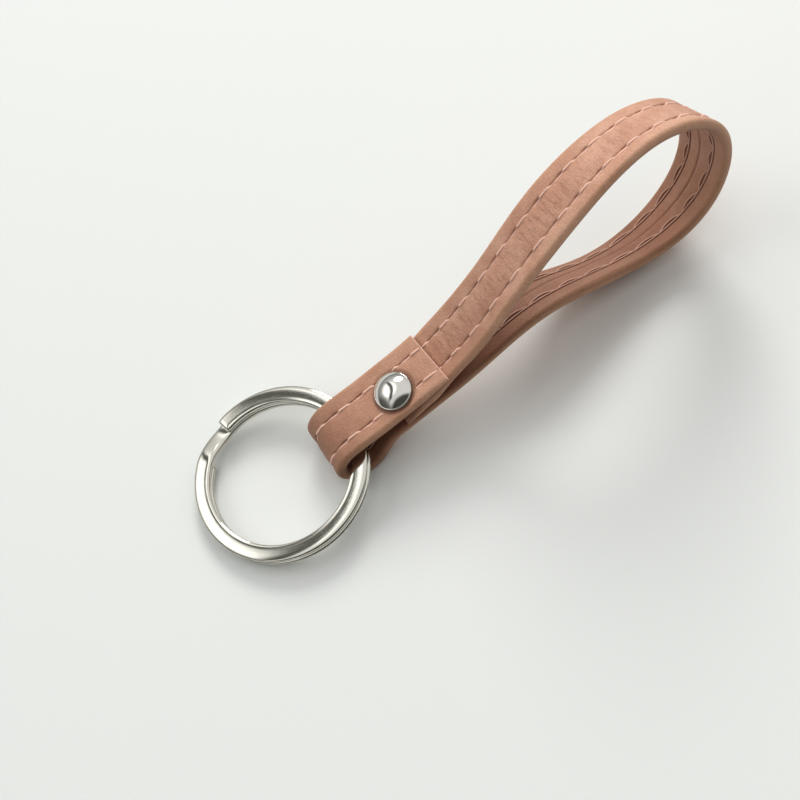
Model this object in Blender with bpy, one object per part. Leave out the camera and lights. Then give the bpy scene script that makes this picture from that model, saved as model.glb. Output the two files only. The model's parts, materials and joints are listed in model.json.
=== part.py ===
"""Leather strap keychain: one folded strip, a cap rivet and a split ring.

The strip starts at a cut end on top, passes the rivet, folds round the ring,
runs back under the rivet, rises into an open loop and ends between the other
two layers. Metres, +Z up. X runs along the strap with the loop at +X, and Y is
the strap's width. The keychain lies on its fold, its loop and its ring.
"""

import math

import bmesh
import bpy
import numpy as np
from mathutils import Vector

# Strap section
STRAP_WIDTH = 0.0107
STRAP_THICKNESS = 0.0018
STRAP_EDGE_RADIUS = 0.0008
LAYER_GAP = 0.0003

# Strap lengths, from the middle of the stacked layers
FLAP_REACH = 0.0080
FLAP_SKEW = math.radians(4.5)
FLAP_END_THICKNESS = 0.0007
STACK_REACH = 0.0080
TAIL_REACH = 0.0016
PINCH_REACH = 0.0036
FOLD_REACH = 0.0159

# Channel that the ring passes through
CHANNEL_RADIUS = 0.00295
CHANNEL_FLAT = 0.0009
FOLD_DROP = 0.0014
FOLD_LEAVE = math.radians(27.0)

# Loop: reach past the stack, height, sideways drift and lean of its plane
LOOP_REACH = 0.0569
LOOP_HEIGHT = 0.0329
LOOP_DRIFT = 0.0027
LOOP_LEAN = math.radians(33.5)
# Shares of reach, height, drift and lean, from the lower arm round to the upper arm
LOOP_SHARES = (
    (0.303, -0.105, 0.15, -0.56),
    (0.565, -0.382, 0.32, -0.99),
    (0.714, -0.436, 0.42, -0.68),
    (0.859, -0.363, 0.57, -0.20),
    (0.963, -0.172, 0.79, 0.23),
    (1.000, 0.083, 0.93, 0.53),
    (0.952, 0.331, 0.83, 0.66),
    (0.835, 0.498, 0.60, 0.59),
    (0.686, 0.554, 0.20, 0.32),
    (0.534, 0.517, -0.14, 0.08),
    (0.264, 0.275, -0.25, 0.18),
    (0.100, 0.097, 0.02, 0.05),
    (0.000, 0.032, 0.07, 0.06),
)

# Stitching
STITCH_PITCH = 0.0055
STITCH_INSET = 0.0028
GROOVE_WIDTH = 0.0010
GROOVE_DEPTH = 0.0006
NEEDLE_THREAD = 0.00045
LOOPER_THREAD = 0.0005
THREAD_REST = 0.0001
THREAD_WAVE = 0.00005
SEAM_WIDTH = 0.0005
SEAM_DEPTH = 0.0003

# Rivet
RIVET_CAP_RADIUS = 0.0033
RIVET_CAP_HEIGHT = 0.0018
RIVET_BACK_HEIGHT = 0.0013
RIVET_SHELL = 0.0003
RIVET_RIM = 0.00025
RIVET_SEAT = 0.0003
RIVET_FIT = 0.00015
RIVET_ROW_DISTANCE = 0.00155
POST_RADIUS = 0.00065
POST_FLANGE = 0.0019
SOCKET_WALL = 0.0002
SOCKET_FLANGE = 0.00175
FLANGE_THICKNESS = 0.0003
POST_TIP_GAP = 0.0004
HOLE_FIT = 0.0002

# Split ring
RING_DIAMETER = 0.0304
WIRE_WIDTH = 0.00285
WIRE_THICKNESS = 0.00115
WIRE_CORNER = 0.00045
COIL_GAP = 0.00045
RING_OFFSET = 0.0018
UPPER_END_ANGLE = math.radians(105.5)
END_STAGGER = math.radians(29.0)

# Fineness
FOLD_STEPS = 14
LEAVE_STEPS = 2
FLARE_STEPS = 6
LOOP_STEPS = 54
CORNER_STEPS = 3
THREAD_SIDES = 5
RING_STEPS_PER_TURN = 40
RIVET_SIDES = 28
DOME_STEPS = 6
CUT_OVERRUN = 0.002

HALF_WIDTH = STRAP_WIDTH / 2
HALF_THICKNESS = STRAP_THICKNESS / 2
LAYER_PITCH = STRAP_THICKNESS + LAYER_GAP
STACK_TOP = LAYER_PITCH + HALF_THICKNESS
FOLD_RADIUS = CHANNEL_RADIUS + HALF_THICKNESS
FOLD_OUTER = CHANNEL_RADIUS + STRAP_THICKNESS
FOLD_CENTRE = FOLD_OUTER - FOLD_REACH
HINGE_X = FOLD_CENTRE + CHANNEL_FLAT / 2
ROW = HALF_WIDTH - STITCH_INSET
RIVET_OFFSET = ROW - RIVET_ROW_DISTANCE
SOCKET_BORE = POST_RADIUS + RIVET_FIT
SOCKET_RADIUS = SOCKET_BORE + SOCKET_WALL
HOLE_RADIUS = SOCKET_RADIUS + HOLE_FIT
RING_RADIUS = RING_DIAMETER / 2
WIRE_RADIUS = RING_RADIUS - WIRE_WIDTH / 2
COIL_PITCH = WIRE_THICKNESS + COIL_GAP
RING_HALF_HEIGHT = COIL_PITCH / 2 + WIRE_THICKNESS / 2


def clear_scene():
    for obj in list(bpy.data.objects):
        bpy.data.objects.remove(obj, do_unlink=True)


def material(name, colour, roughness, metallic=0.0):
    made = bpy.data.materials.new(name)
    made.use_nodes = True
    shader = made.node_tree.nodes["Principled BSDF"]
    shader.inputs["Base Color"].default_value = (*colour, 1.0)
    shader.inputs["Roughness"].default_value = roughness
    shader.inputs["Metallic"].default_value = metallic
    return made


def solid(name, points, faces, finish):
    """A closed mesh object with its faces turned outwards."""
    mesh = bpy.data.meshes.new(name)
    mesh.from_pydata([tuple(p) for p in points], [], faces)
    shape = bmesh.new()
    shape.from_mesh(mesh)
    bmesh.ops.recalc_face_normals(shape, faces=shape.faces)
    shape.to_mesh(mesh)
    shape.free()
    mesh.shade_smooth()
    mesh.set_sharp_from_angle(angle=math.radians(40.0))
    mesh.materials.append(finish)
    obj = bpy.data.objects.new(name, mesh)
    bpy.context.collection.objects.link(obj)
    return obj


def swept(name, rings, finish):
    """A solid through closed rings of equal point counts, with flat ends."""
    count = len(rings[0])
    points = [p for ring in rings for p in ring]
    faces = [tuple(range(count)), tuple(range(len(points) - count, len(points)))[::-1]]
    for start in range(0, len(points) - count, count):
        for i in range(count):
            j = (i + 1) % count
            faces.append((start + i, start + j, start + count + j, start + count + i))
    return solid(name, points, faces, finish)


def turned(name, profile, finish):
    """A solid turned about Z from a profile that starts and ends on the axis or closes on itself."""
    points, faces, index = [], [], []
    for radius, height in profile:
        if radius == 0:
            index.append([len(points)] * RIVET_SIDES)
            points.append((0, 0, height))
            continue
        index.append(list(range(len(points), len(points) + RIVET_SIDES)))
        for i in range(RIVET_SIDES):
            angle = 2 * math.pi * i / RIVET_SIDES
            points.append((radius * math.cos(angle), radius * math.sin(angle), height))
    for a, b in zip(index, index[1:] + index[:1]):
        for i in range(RIVET_SIDES):
            j = (i + 1) % RIVET_SIDES
            corners = list(dict.fromkeys((a[i], a[j], b[j], b[i])))
            if len(corners) > 2:
                faces.append(corners)
    return solid(name, points, faces, finish)


def smooth_step(share):
    return share * share * (3 - 2 * share)


def spline(knots, start_slope, end_slope, steps):
    """Points evenly spread in chord length on the cubic through knots with given end directions."""
    knots = np.array(knots)
    chords = np.linalg.norm(np.diff(knots[:, :2], axis=0), axis=1)
    at = np.concatenate([[0], np.cumsum(chords)])
    count = len(knots)
    left = np.zeros((count, count))
    right = np.zeros_like(knots)
    left[0, 0] = left[-1, -1] = 1
    right[0], right[-1] = start_slope, end_slope
    for i in range(1, count - 1):
        before, after = chords[i - 1], chords[i]
        left[i, i - 1 : i + 2] = after, 2 * (before + after), before
        right[i] = 3 * (
            before * (knots[i + 1] - knots[i]) / after
            + after * (knots[i] - knots[i - 1]) / before
        )
    slopes = np.linalg.solve(left, right)
    found = []
    for place in np.linspace(0, at[-1], steps + 1):
        i = min(np.searchsorted(at, place, side="right") - 1, count - 2)
        u = (place - at[i]) / chords[i]
        found.append(
            (1 + 2 * u) * (1 - u) ** 2 * knots[i]
            + u * (1 - u) ** 2 * chords[i] * slopes[i]
            + u * u * (3 - 2 * u) * knots[i + 1]
            + u * u * (u - 1) * chords[i] * slopes[i + 1]
        )
    return found


def flare():
    """Centre line of the top layer, from the pinched stack to the fold."""
    start, end = -PINCH_REACH, FOLD_CENTRE + CHANNEL_FLAT
    rise = FOLD_RADIUS - FOLD_DROP - LAYER_PITCH
    found = []
    for i in range(FLARE_STEPS + 1):
        share = i / FLARE_STEPS
        height = LAYER_PITCH + rise * smooth_step(share)
        found.append((start + (end - start) * share, height, 0, 0))
    return found


def fold():
    """Centre line round the ring, from its top to where the bottom layer leaves it."""
    found = []
    for i in range(FOLD_STEPS + 1):
        angle = math.pi / 2 + math.pi * i / FOLD_STEPS
        x = FOLD_CENTRE + FOLD_RADIUS * math.cos(angle)
        found.append((x, FOLD_RADIUS * math.sin(angle) - FOLD_DROP, 0, 0))
    for i in range(LEAVE_STEPS + 1):
        angle = FOLD_LEAVE * i / LEAVE_STEPS
        x = HINGE_X + FOLD_RADIUS * math.sin(angle)
        found.append((x, -FOLD_RADIUS * math.cos(angle) - FOLD_DROP, 0, 0))
    return found


def closing():
    """Centre line of the bottom layer, straight off the fold and level under the rivet."""
    start = np.array(fold()[-1])
    end = np.array((-PINCH_REACH, -LAYER_PITCH, 0, 0))
    reach = np.linalg.norm(end - start)
    off = reach * np.array((math.cos(FOLD_LEAVE), math.sin(FOLD_LEAVE), 0, 0))
    level = reach * np.array((1, 0, 0, 0))
    found = []
    for i in range(1, FLARE_STEPS + 1):
        u = i / FLARE_STEPS
        bend = u * (1 - u) ** 2 * off - u * u * (1 - u) * level
        found.append(tuple(start + (end - start) * smooth_step(u) + bend))
    return found


def loop():
    """Centre line of the open loop, with its drift and lean."""
    knots = [(STACK_REACH, -LAYER_PITCH, 0, 0)]
    for reach, height, drift, lean in LOOP_SHARES:
        x = STACK_REACH + reach * LOOP_REACH
        knots.append((x, height * LOOP_HEIGHT, drift * LOOP_DRIFT, lean * LOOP_LEAN))
    knots.append((PINCH_REACH, 0, 0, 0))
    return spline(knots, (1, 0, 0, 0), (-1, 0, 0, 0), LOOP_STEPS)


def strip_stations():
    """Along the strip from its cut end: centre, width direction, outward direction and distance."""
    path = [(FLAP_REACH, LAYER_PITCH, 0, 0), (PINCH_REACH, LAYER_PITCH, 0, 0)]
    path += flare() + fold() + closing() + loop()
    path.append((-TAIL_REACH, 0, 0, 0))
    path = np.array(path)
    centres = path[:, [0, 2, 1]]
    ahead = np.diff(centres, axis=0)
    ahead /= np.linalg.norm(ahead, axis=1)[:, None]
    ahead = np.concatenate([ahead[:1], ahead[1:] + ahead[:-1], ahead[-1:]])
    ahead /= np.linalg.norm(ahead, axis=1)[:, None]
    across = np.array((0.0, 1.0, 0.0)) - ahead * ahead[:, [1]]
    across /= np.linalg.norm(across, axis=1)[:, None]
    outward = np.cross(across, ahead)
    cos, sin = np.cos(path[:, [3]]), np.sin(path[:, [3]])
    across, outward = cos * across - sin * outward, cos * outward + sin * across
    run = np.linalg.norm(np.diff(centres, axis=0), axis=1)
    distance = np.concatenate([[0], np.cumsum(run)])
    return centres, across, outward, distance, ahead


def edge_corner(side, face):
    """Rounded corner of the strap's section, from its edge to its face, as signs of side and face."""
    found = []
    for i in range(CORNER_STEPS + 1):
        angle = math.pi / 2 * i / CORNER_STEPS
        w = HALF_WIDTH - STRAP_EDGE_RADIUS * (1 - math.cos(angle))
        n = HALF_THICKNESS - STRAP_EDGE_RADIUS * (1 - math.sin(angle))
        found.append((side * w, face * n))
    return found


def groove(centre, face, width, depth):
    """Notch in a face of the strap's section, in order of growing width coordinate."""
    n = face * HALF_THICKNESS
    floor = face * (HALF_THICKNESS - depth)
    return [
        (centre - width / 2, n),
        (centre - width / 4, floor),
        (centre + width / 4, floor),
        (centre + width / 2, n),
    ]


def strap_section():
    """Section of the strap: face grooves for the stitching and the seam of the turned edges behind."""
    outer = groove(-ROW, 1, GROOVE_WIDTH, GROOVE_DEPTH)
    outer += groove(ROW, 1, GROOVE_WIDTH, GROOVE_DEPTH)
    inner = groove(-ROW, -1, GROOVE_WIDTH, GROOVE_DEPTH)
    inner += groove(0, -1, SEAM_WIDTH, SEAM_DEPTH)
    inner += groove(ROW, -1, GROOVE_WIDTH, GROOVE_DEPTH)
    return (
        edge_corner(-1, 1)
        + outer
        + edge_corner(1, 1)[::-1]
        + edge_corner(1, -1)
        + inner[::-1]
        + edge_corner(-1, -1)[::-1]
    )


def rings_along(stations, section_at):
    """Rings of points on the strip, where section_at gives width and outward offsets at a distance."""
    rings = []
    for centre, across, outward, distance, ahead in zip(*stations):
        at_cut = distance == 0
        slant = math.tan(FLAP_SKEW) if at_cut else 0
        thinned = FLAP_END_THICKNESS / STRAP_THICKNESS if at_cut else 1
        ring = []
        for w, n in section_at(distance):
            n = HALF_THICKNESS - (HALF_THICKNESS - n) * thinned
            ring.append(centre + w * (across + slant * ahead) + n * outward)
        rings.append(ring)
    return rings


def rivet_cutter():
    """Cylinder through all three layers of the stack."""
    bpy.ops.mesh.primitive_cylinder_add(
        vertices=RIVET_SIDES,
        radius=HOLE_RADIUS,
        depth=2 * (STACK_TOP + CUT_OVERRUN),
        location=(0, -RIVET_OFFSET, 0),
    )
    cutter = bpy.context.object
    cutter.name = "rivet_hole_cutter"
    cutter.hide_render = True
    cutter.display_type = "WIRE"
    return cutter


def make_strap(stations, leather):
    section = strap_section()
    strap = swept("strap", rings_along(stations, lambda distance: section), leather)
    cut = strap.modifiers.new("rivet_holes", "BOOLEAN")
    cut.operation = "DIFFERENCE"
    cut.object = rivet_cutter()
    return strap, cut.object


def make_thread(name, stations, side, face, thickness, finish):
    """One row's thread along the whole strip, low at each needle hole and high between."""
    rest = HALF_THICKNESS - GROOVE_DEPTH + THREAD_REST + thickness / 2

    def section_at(distance):
        wave = THREAD_WAVE * (1 - math.cos(2 * math.pi * distance / STITCH_PITCH)) / 2
        found = []
        for i in range(THREAD_SIDES):
            angle = 2 * math.pi * i / THREAD_SIDES
            w = side * ROW + thickness / 2 * math.sin(angle)
            n = face * (rest + wave) - face * thickness / 2 * math.cos(angle)
            found.append((w, n))
        return found

    return swept(name, rings_along(stations, section_at), finish)


def dome(radius, base, height, steps):
    """Quarter ellipse from the rim at (radius, base) up to the axis."""
    found = []
    for i in range(steps + 1):
        angle = math.pi / 2 * i / steps
        found.append((radius * math.cos(angle), base + height * math.sin(angle)))
    found[-1] = (0, base + height)
    return found


def cap_shell(name, height, opening, finish):
    """Domed sheet cap whose rim is rolled in to an opening; its seat is at z = 0."""
    outside = dome(RIVET_CAP_RADIUS, RIVET_RIM, height - RIVET_RIM, DOME_STEPS)
    inner_height = height - RIVET_RIM - RIVET_SHELL
    inside = dome(RIVET_CAP_RADIUS - RIVET_SHELL, RIVET_RIM, inner_height, DOME_STEPS)
    profile = [(opening, 0), (RIVET_CAP_RADIUS - RIVET_RIM, 0)] + outside
    profile += inside[::-1] + [(opening, RIVET_RIM)]
    return turned(name, profile, finish)


def make_rivet(steel, plated):
    """The two sheet caps, the post and the socket, each about the rivet's axis."""
    seat = STACK_TOP + RIVET_SEAT
    flange_low = RIVET_RIM + RIVET_FIT
    flange_high = flange_low + FLANGE_THICKNESS
    cap = cap_shell("rivet_cap", RIVET_CAP_HEIGHT, POST_RADIUS + RIVET_FIT, plated)
    cap.location.z = seat
    back = cap_shell("rivet_back_cap", RIVET_BACK_HEIGHT, HOLE_RADIUS, plated)
    back.location.z = -seat
    back.rotation_euler.x = math.pi
    socket_floor = -seat - flange_high
    bore_floor = socket_floor + FLANGE_THICKNESS
    tip = bore_floor + POST_TIP_GAP
    post = turned(
        "rivet_post",
        [
            (0, tip),
            (POST_RADIUS, tip),
            (POST_RADIUS, seat + flange_low),
            (POST_FLANGE, seat + flange_low),
            (POST_FLANGE, seat + flange_high),
            (0, seat + flange_high),
        ],
        steel,
    )
    socket = turned(
        "rivet_socket",
        [
            (0, bore_floor),
            (SOCKET_BORE, bore_floor),
            (SOCKET_BORE, STACK_TOP),
            (SOCKET_RADIUS, STACK_TOP),
            (SOCKET_RADIUS, bore_floor),
            (SOCKET_FLANGE, bore_floor),
            (SOCKET_FLANGE, socket_floor),
            (0, socket_floor),
        ],
        steel,
    )
    pieces = [cap, back, post, socket]
    for piece in pieces:
        piece.location.y = -RIVET_OFFSET
    return pieces


def wire_section():
    """Flat wire with rounded corners, as radial and axial offsets."""
    found = []
    for a, b, start in ((1, 1, 0), (-1, 1, 90), (-1, -1, 180), (1, -1, 270)):
        for i in range(CORNER_STEPS):
            angle = math.radians(start + 90 * i / (CORNER_STEPS - 1))
            radial = a * (WIRE_WIDTH / 2 - WIRE_CORNER) + WIRE_CORNER * math.cos(angle)
            axial = b * (WIRE_THICKNESS / 2 - WIRE_CORNER) + WIRE_CORNER * math.sin(angle)
            found.append((radial, axial))
    return found


def coil_height(turn):
    """Height of the wire's centre after an angle of winding: one step down between the ends."""
    start = 2 * math.pi - END_STAGGER
    share = min(max((turn - start) / END_STAGGER, 0), 1)
    return COIL_PITCH * (0.5 - smooth_step(share))


def ring_sag():
    """How far the wire's inner edge curves back between its crown and the strap's near edge."""
    reach = HALF_WIDTH - STRAP_EDGE_RADIUS + RING_OFFSET
    inner = WIRE_RADIUS - WIRE_WIDTH / 2
    return inner - math.sqrt(inner**2 - reach**2)


def make_ring(plated):
    """Split ring of nearly two turns, with the hinge axis in the strap's channel as its origin."""
    total = 4 * math.pi - END_STAGGER
    steps = round(RING_STEPS_PER_TURN * total / (2 * math.pi))
    centre_x = ring_sag() / 2 - WIRE_RADIUS
    section = wire_section()
    rings = []
    for i in range(steps + 1):
        turn = total * i / steps
        angle = UPPER_END_ANGLE - turn
        ring = []
        for radial, axial in section:
            reach = WIRE_RADIUS + radial
            x = centre_x + reach * math.cos(angle)
            y = RING_OFFSET + reach * math.sin(angle)
            ring.append((x, y, coil_height(turn) + axial))
        rings.append(ring)
    print("split ring: least gap of the wire to itself", round(wire_gap(rings), 6), "m")
    return swept("split_ring", rings, plated)


def wire_gap(rings):
    """Least distance between points of the wire at least a quarter turn apart along it."""
    points = np.array(rings)
    apart = RING_STEPS_PER_TURN // 4
    least = math.inf
    for i in range(len(points) - apart):
        others = points[i + apart :].reshape(-1, 3)
        gaps = np.linalg.norm(points[i][:, None] - others[None], axis=2)
        least = min(least, gaps.min())
    return least


def resting_pitch(points):
    """Pitch at which the fold's underside and the loop's lowest point touch one plane."""
    across = points[:, 0] - FOLD_CENTRE
    up = points[:, 2] + FOLD_DROP
    away = np.hypot(across, up)
    beyond = across > STACK_REACH
    angles = -np.arcsin(FOLD_OUTER / away[beyond]) - np.arctan2(up, across)[beyond]
    return float(angles.max())


def ring_tilt(hinge_height):
    """Tilt at which the ring's far rim reaches the floor below the hinge."""
    reach = 2 * WIRE_RADIUS - ring_sag() / 2 + WIRE_WIDTH / 2 - WIRE_CORNER
    drop = RING_HALF_HEIGHT - WIRE_CORNER
    length = math.hypot(reach, drop)
    return math.asin((hinge_height - WIRE_CORNER) / length) - math.atan2(drop, reach)


def frame_object(name, parent=None):
    obj = bpy.data.objects.new(name, None)
    obj.empty_display_size = HALF_WIDTH
    obj.parent = parent
    bpy.context.collection.objects.link(obj)
    return obj


def world_points(objects):
    bpy.context.view_layer.update()
    found = []
    for obj in objects:
        found += [obj.matrix_world @ vertex.co for vertex in obj.data.vertices]
    return np.array(found)


def build():
    clear_scene()
    leather = material("dusty_pink_leather", (0.50, 0.24, 0.17), 0.55)
    thread = material("pink_thread", (0.73, 0.42, 0.32), 0.6)
    plated = material("nickel_plated_steel", (0.78, 0.77, 0.74), 0.18, 1.0)
    steel = material("rivet_steel", (0.55, 0.54, 0.52), 0.35, 1.0)

    stations = strip_stations()
    strap, cutter = make_strap(stations, leather)
    pieces = [strap]
    for place, side in (("far", 1), ("near", -1)):
        pieces.append(
            make_thread(f"needle_thread_{place}", stations, side, 1, NEEDLE_THREAD, thread)
        )
        pieces.append(
            make_thread(f"looper_thread_{place}", stations, side, -1, LOOPER_THREAD, thread)
        )
    pieces += make_rivet(steel, plated)
    ring = make_ring(plated)

    whole = frame_object("keychain")
    stack = frame_object("strap_stack", whole)
    pitch = resting_pitch(world_points([strap]))
    stack.rotation_euler.y = -pitch
    stack.location.z = FOLD_OUTER - FOLD_CENTRE * math.sin(pitch) + FOLD_DROP * math.cos(pitch)
    for piece in pieces + [cutter]:
        piece.parent = stack
    bpy.context.view_layer.update()
    ring.parent = whole
    ring.location = stack.matrix_world @ Vector((HINGE_X, 0, -FOLD_DROP))
    tilt = ring_tilt(ring.location.z)
    ring.rotation_euler.y = -tilt

    points = world_points(pieces + [ring])
    low, high = points.min(axis=0), points.max(axis=0)
    whole.location.x = -(low[0] + high[0]) / 2
    whole.location.y = -(low[1] + high[1]) / 2
    whole.location.z = -low[2]
    bpy.context.view_layer.update()
    print("strap pitch", round(math.degrees(pitch), 2), "ring tilt", round(math.degrees(tilt), 2))
    place = ring.matrix_world.translation
    print("ring hinge at", tuple(round(v, 6) for v in place))
    print("strip length", round(float(stations[3][-1]), 4), "size", (high - low).round(4))


build()
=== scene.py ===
import json
import math

import bmesh
import bpy
import numpy as np
from mathutils import Matrix


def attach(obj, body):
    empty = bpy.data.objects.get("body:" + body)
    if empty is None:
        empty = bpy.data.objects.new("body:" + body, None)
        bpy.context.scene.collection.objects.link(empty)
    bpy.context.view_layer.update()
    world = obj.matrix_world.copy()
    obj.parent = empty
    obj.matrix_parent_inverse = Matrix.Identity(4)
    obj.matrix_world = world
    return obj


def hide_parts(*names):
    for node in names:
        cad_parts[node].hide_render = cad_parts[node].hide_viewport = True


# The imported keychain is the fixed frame; every finished piece below stands on it
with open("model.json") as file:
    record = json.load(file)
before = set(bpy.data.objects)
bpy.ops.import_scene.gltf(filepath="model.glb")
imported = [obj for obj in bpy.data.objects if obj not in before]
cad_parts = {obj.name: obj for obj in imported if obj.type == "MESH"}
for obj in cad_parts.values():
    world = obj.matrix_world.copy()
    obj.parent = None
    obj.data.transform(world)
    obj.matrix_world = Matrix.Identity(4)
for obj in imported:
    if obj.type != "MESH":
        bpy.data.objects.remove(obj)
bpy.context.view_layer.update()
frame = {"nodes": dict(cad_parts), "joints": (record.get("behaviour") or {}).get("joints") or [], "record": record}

MM = 0.001

# Strap, as it is cut and folded
STRAP_WIDTH = 10.7 * MM
STRAP_THICKNESS = 1.8 * MM
EDGE_RADIUS = 0.8 * MM
LAYER_PITCH = 2.1 * MM
FLAP_REACH = 8.0 * MM
FLAP_SKEW = math.radians(4.5)
FLAP_END_THICKNESS = 0.7 * MM
TAIL_SKIVE = 5.0 * MM
TAIL_SKIVED_SHARE = 0.93
TAIL_DROP = 0.22 * MM
SKEW_FADE = 4.0 * MM
STACK_REACH = 8.0 * MM
TAIL_REACH = 1.6 * MM
PINCH_REACH = 3.6 * MM
FOLD_REACH = 15.9 * MM
CHANNEL_RADIUS = 2.95 * MM
CHANNEL_FLAT = 0.9 * MM
FOLD_DROP = 1.4 * MM
FOLD_LEAVE = math.radians(27.0)
LOOP_REACH = 56.9 * MM
LOOP_HEIGHT = 32.9 * MM
LOOP_DRIFT = 2.7 * MM
LOOP_LEAN = math.radians(33.5)
LOOP_SHARES = (
    (0.303, -0.105, 0.15, -0.56),
    (0.565, -0.382, 0.32, -0.99),
    (0.714, -0.436, 0.42, -0.68),
    (0.859, -0.363, 0.57, -0.20),
    (0.963, -0.172, 0.79, 0.23),
    (1.000, 0.083, 0.93, 0.53),
    (0.952, 0.331, 0.83, 0.66),
    (0.835, 0.498, 0.60, 0.59),
    (0.686, 0.554, 0.20, 0.32),
    (0.534, 0.517, -0.14, 0.08),
    (0.264, 0.275, -0.25, 0.18),
    (0.100, 0.097, 0.02, 0.05),
    (0.000, 0.032, 0.07, 0.06),
)

# Sewing: stitches counted at a distance in millimetres along the strip, for each row
STITCH_INSET = 2.8 * MM
FAR_COUNT = (
    (0, -0.58), (23, 4), (88, 16), (98, 18),
    (135.6, 25), (157.3, 29), (181.6, 33), (202.8, 37),
)
NEAR_COUNT = (
    (0, -0.74), (19.2, 3), (68.1, 12), (95.9, 17),
    (132.8, 24), (157.3, 29), (182.8, 33), (202.8, 37),
)
# How far the rows and the seam stray in millimetres, at distances along the strip
ROW_WANDER = ((0, -0.25), (26, -0.3), (57, 0.1), (77, 0.3), (102, 0.3), (125, -0.1), (203, -0.1))
SEAM_WANDER = ((0, 0.25), (55, 0.2), (63, -0.3), (74, 0.85), (84, 1.1), (92, 0.3), (203, 0.25))
# Shares of creasing (its lines painted darker, as shade), of painted light, and of painted shade over the fold and
# the inner face, at distances in millimetres along the strip
CREASE_RUN = ((0, 0.25), (30, 0.3), (57, 0.35), (125, 0.15), (141, 0.8), (193, 1.0), (203, 0.6))
# Painted light: a paler tone on the outer face and edges, strongest along the loop's upper arm
PAINTED_LIGHT_RUN = (
    (0, 0.30), (16, 0.28), (24, 0.05), (57, 0.05), (109, 0.15),
    (125, 0.35), (139, 0.85), (169, 0.85), (189, 0.35), (203, 0.35),
)
# Painted shade over the fold's outer face and edges, then over the inner face, by distance in millimetres
FOLD_PAINTED_SHADE = ((0, 0.0), (13, 0.0), (18, 0.4), (24, 0.65), (34, 0.65), (41, 0.2), (57, 0.0))
INNER_PAINTED_SHADE = (
    (0, 1.0), (53, 1.0), (65, 0.85), (80, 0.7), (93, 0.9),
    (107, 0.15), (119, 0.1), (127, 0.7), (203, 1.0),
)
NEEDLE_THREAD = 0.44 * MM
NEEDLE_SUNK = 0.52 * MM
NEEDLE_LIFT = 0.46 * MM
NEEDLE_END = 0.4 * MM
CHAIN_THREAD = 0.25 * MM
CHAIN_BOW = 0.70 * MM
CHAIN_SUNK = 0.36 * MM
CHAIN_LIFT = 0.34 * MM
CHAIN_BOW_LIFT = 0.04 * MM
CHAIN_END = 0.3 * MM
CHAIN_LINK_SHARES = (-0.05, 1.04)
GROOVE_SPREAD = 0.15 * MM
GROOVE_DEPTH = 0.17 * MM
PUCKER_SPREAD = 0.75 * MM
PUCKER_DEPTH = 0.07 * MM
HOLE_DEPTH = 0.50 * MM
HOLE_SPREAD = 0.24 * MM
HOLE_RUN_SHARE = 0.11
PLY_DEPTH_SHARE = 0.13
PLY_TWIST = 1.1 * MM

# Relief of the strap's faces
OUTER_CROWN = 0.07 * MM
INNER_CROWN = 0.04 * MM
SEAM_DEPTH = 0.22 * MM
SEAM_SPREAD = 0.11 * MM
SEAM_HOLLOW_DEPTH = 0.05 * MM
SEAM_HOLLOW_SPREAD = 0.5 * MM
CHAIN_EDGE_OFFSET = 0.16 * MM
CHAIN_EDGE_SPREAD = 0.13 * MM
CHAIN_EDGE_DEPTH = 0.12 * MM
CHAIN_DENT_SPREAD = 0.16 * MM
CHAIN_DENT_DEPTH = 0.11 * MM
CHAIN_OPEN = 0.2 * MM
RIVET_PRESS = 0.14 * MM
RIVET_PRESS_START = 0.1 * MM
RIVET_PRESS_SPREAD = 0.7 * MM
# Reach of the pale cut end: the raw edge's own colour and a painted highlight
RAW_EDGE_HIGHLIGHT_REACH = 0.22 * MM
FACE_START = 0.1 * MM

# How finely the pieces are cut
FOLD_STEPS = 60
FLARE_STEPS = 40
LOOP_STEPS = 800
STRAP_STEP = 0.20 * MM
THREAD_STEP = 0.11 * MM
LINK_STEPS = 30
FRAME_STEP = 0.3 * MM
COLUMN_STEP = 0.17 * MM
ROW_COLUMN_STEP = 0.085 * MM
ROW_COLUMN_REACH = 0.72 * MM
LAST_COLUMN_GAP = 0.09 * MM

# Rivet
CAP_RADIUS = 3.3 * MM
CAP_HEIGHT = 1.8 * MM
BACK_HEIGHT = 1.3 * MM
CAP_SEAT = 0.3 * MM
RIVET_Y = -1.0 * MM
CAP_DOME_TRIM = 0.25 * MM
CAP_FOOT = 0.04 * MM
CAP_HOLLOW = 0.10 * MM
CAP_LIP = 0.45 * MM
CAP_WALL_SHARE = 0.34
CAP_WALL_BULGE = 0.20 * MM
CAP_DOME_INSET = 0.16 * MM
CAP_CREASE = 0.03 * MM
CAP_RIM_SHADE_SPREAD = 0.15 * MM

# Split ring
WIRE_RADIUS = 13.775 * MM
WIRE_WIDTH = 2.85 * MM
WIRE_THICKNESS = 1.15 * MM
WIRE_WEDGE = 0.22
COIL_PITCH = 1.6 * MM
RING_OFFSET = 1.8 * MM
UPPER_END_ANGLE = math.radians(105.5)
END_STAGGER = math.radians(29.0)
WIRE_END_REACH = 0.35 * MM
WIRE_END_SHARE = 0.10
WIRE_STEPS = 400

# How the keychain lies: the flap's face gives the stack's pitch
STACK_UP = frame["record"]["mounts"][0]["axis"]
STACK_PITCH = math.atan2(-STACK_UP[0], STACK_UP[2])
RING_TILT = math.radians(7.21)

# The camera, from the stack's own place, with the photograph's view
CAMERA_LENS = 92.07
CAMERA_PLACE = (36.27 * MM, -151.58 * MM, 294.79 * MM)
CAMERA_RIGHT = (0.77816, -0.51521, -0.35918)
CAMERA_UP = (0.61837, 0.72858, 0.29461)
CAMERA_BACK = (0.10991, -0.45136, 0.88555)

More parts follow.
